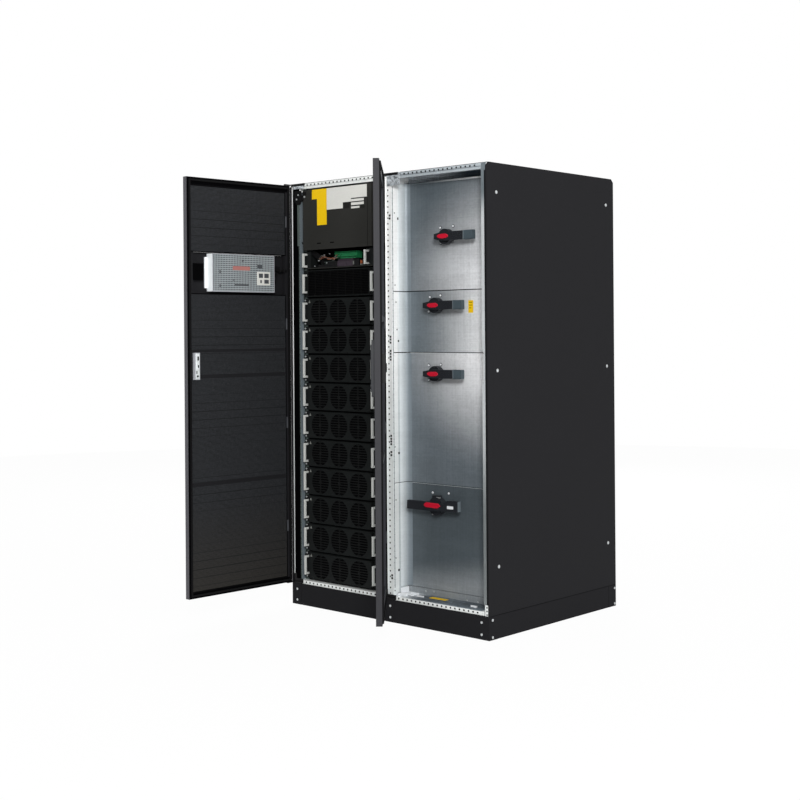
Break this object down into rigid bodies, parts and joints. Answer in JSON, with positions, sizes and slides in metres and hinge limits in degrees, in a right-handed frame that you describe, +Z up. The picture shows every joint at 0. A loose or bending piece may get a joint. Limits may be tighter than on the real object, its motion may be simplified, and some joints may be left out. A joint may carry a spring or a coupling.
{
  "type": "modular ups cabinet",
  "caption": "Wide floor cabinet with hinged front doors, a stack of slide-out power modules on one side and rotary mains switches on cover plates on the other.",
  "frame": {"origin": "on the floor at the middle of the cabinet's footprint, under the plinth", "axes": "+Z up, +X to the right seen from the front, -Y out of the front"},
  "size_m": [1.2313, 1.5758, 2],
  "materials": {
    "dark_paint": "fine textured anthracite powder coat",
    "galvanised": "bright zinc coated sheet",
    "charcoal": "satin charcoal paint",
    "green_terminal": "moulded green plastic",
    "bright_aluminium": "satin anodised",
    "switch_black": "moulded black plastic",
    "black_steel": "black powder coat",
    "display_glass": "dark glossy panel",
    "cable_black": "black rubber of seals and cable jackets"
  },
  "bodies": {
    "cabinet": {"plinth_corners": "dark_paint", "plinth_front_trims": "dark_paint", "plinth_rear_trims": "dark_paint", "plinth_side_trims": "dark_paint", "frame_posts": "galvanised", "frame_rails": "galvanised", "roof_plates": "dark_paint", "left_side_panel": "dark_paint", "right_side_panel": "dark_paint", "rear_panels": "dark_paint", "floor_plates": "galvanised", "equipment_uprights": "galvanised", "module_guides": "galvanised", "top_cover_panel": "charcoal", "terminal_tray": "charcoal", "terminal_block": "green_terminal", "louvre_unit": "charcoal", "unit_handles": "bright_aluminium", "switch_side_plates": "galvanised", "switch_end_strips": "galvanised", "switch_cover_bottom": "galvanised", "switch_cover_lower": "galvanised", "switch_cover_upper": "galvanised", "switch_cover_top": "galvanised", "switch_collars": "switch_black", "hinge_brackets": "black_steel"},
    "left_door": {"left_door_frame": "dark_paint", "left_door_seal": "cable_black", "left_door_mesh": "black_steel", "display_box": "galvanised", "display_screen": "display_glass", "display_cable": "cable_black", "left_door_lock": "galvanised", "left_door_lever": "switch_black"},
    "right_door": {"right_door_skin": "dark_paint", "right_door_seal": "cable_black", "right_door_ribs": "black_steel", "right_door_lock": "galvanised", "right_door_lever": "switch_black"},
    "switch_handle_1": {"switch_handle_1": "switch_black"},
    "switch_handle_2": {"switch_handle_2": "switch_black"},
    "switch_handle_3": {"switch_handle_3": "switch_black"},
    "switch_handle_4": {"switch_handle_4": "switch_black"},
    "ups_module_01": {"ups_module_01": "charcoal"},
    "ups_module_02": {"ups_module_02": "charcoal"},
    "ups_module_03": {"ups_module_03": "charcoal"},
    "ups_module_04": {"ups_module_04": "charcoal"},
    "ups_module_05": {"ups_module_05": "charcoal"},
    "ups_module_06": {"ups_module_06": "charcoal"},
    "ups_module_07": {"ups_module_07": "charcoal"},
    "ups_module_08": {"ups_module_08": "charcoal"},
    "ups_module_09": {"ups_module_09": "charcoal"},
    "ups_module_10": {"ups_module_10": "charcoal"}
  },
  "joints": [
    {"name": "left_door_hinge", "type": "hinge", "parent": "cabinet", "child": "left_door", "pos_m": [-0.593, -0.511, 1.05], "axis": [0, 0, -1], "range_deg": [-93.1, 36.9]},
    {"name": "right_door_hinge", "type": "hinge", "parent": "cabinet", "child": "right_door", "pos_m": [0.007, -0.511, 1.05], "axis": [0, 0, 1], "range_deg": [-81.5, 48.5]},
    {"name": "switch_handle_1_turn", "type": "hinge", "parent": "cabinet", "child": "switch_handle_1", "pos_m": [0.305, -0.385, 1.706], "axis": [0, 1, 0], "range_deg": [0, 90]},
    {"name": "switch_handle_2_turn", "type": "hinge", "parent": "cabinet", "child": "switch_handle_2", "pos_m": [0.244, -0.385, 1.407], "axis": [0, 1, 0], "range_deg": [0, 90]},
    {"name": "switch_handle_3_turn", "type": "hinge", "parent": "cabinet", "child": "switch_handle_3", "pos_m": [0.242, -0.385, 1.106], "axis": [0, 1, 0], "range_deg": [0, 90]},
    {"name": "switch_handle_4_turn", "type": "hinge", "parent": "cabinet", "child": "switch_handle_4", "pos_m": [0.245, -0.385, 0.525], "axis": [0, 1, 0], "range_deg": [0, 90]},
    {"name": "ups_module_01_slide", "type": "slide", "parent": "cabinet", "child": "ups_module_01", "axis": [0, -1, 0], "range_m": [0, 0.45]},
    {"name": "ups_module_02_slide", "type": "slide", "parent": "cabinet", "child": "ups_module_02", "axis": [0, -1, 0], "range_m": [0, 0.45]},
    {"name": "ups_module_03_slide", "type": "slide", "parent": "cabinet", "child": "ups_module_03", "axis": [0, -1, 0], "range_m": [0, 0.45]},
    {"name": "ups_module_04_slide", "type": "slide", "parent": "cabinet", "child": "ups_module_04", "axis": [0, -1, 0], "range_m": [0, 0.45]},
    {"name": "ups_module_05_slide", "type": "slide", "parent": "cabinet", "child": "ups_module_05", "axis": [0, -1, 0], "range_m": [0, 0.45]},
    {"name": "ups_module_06_slide", "type": "slide", "parent": "cabinet", "child": "ups_module_06", "axis": [0, -1, 0], "range_m": [0, 0.45]},
    {"name": "ups_module_07_slide", "type": "slide", "parent": "cabinet", "child": "ups_module_07", "axis": [0, -1, 0], "range_m": [0, 0.45]},
    {"name": "ups_module_08_slide", "type": "slide", "parent": "cabinet", "child": "ups_module_08", "axis": [0, -1, 0], "range_m": [0, 0.45]},
    {"name": "ups_module_09_slide", "type": "slide", "parent": "cabinet", "child": "ups_module_09", "axis": [0, -1, 0], "range_m": [0, 0.45]},
    {"name": "ups_module_10_slide", "type": "slide", "parent": "cabinet", "child": "ups_module_10", "axis": [0, -1, 0], "range_m": [0, 0.45]}
  ]
}
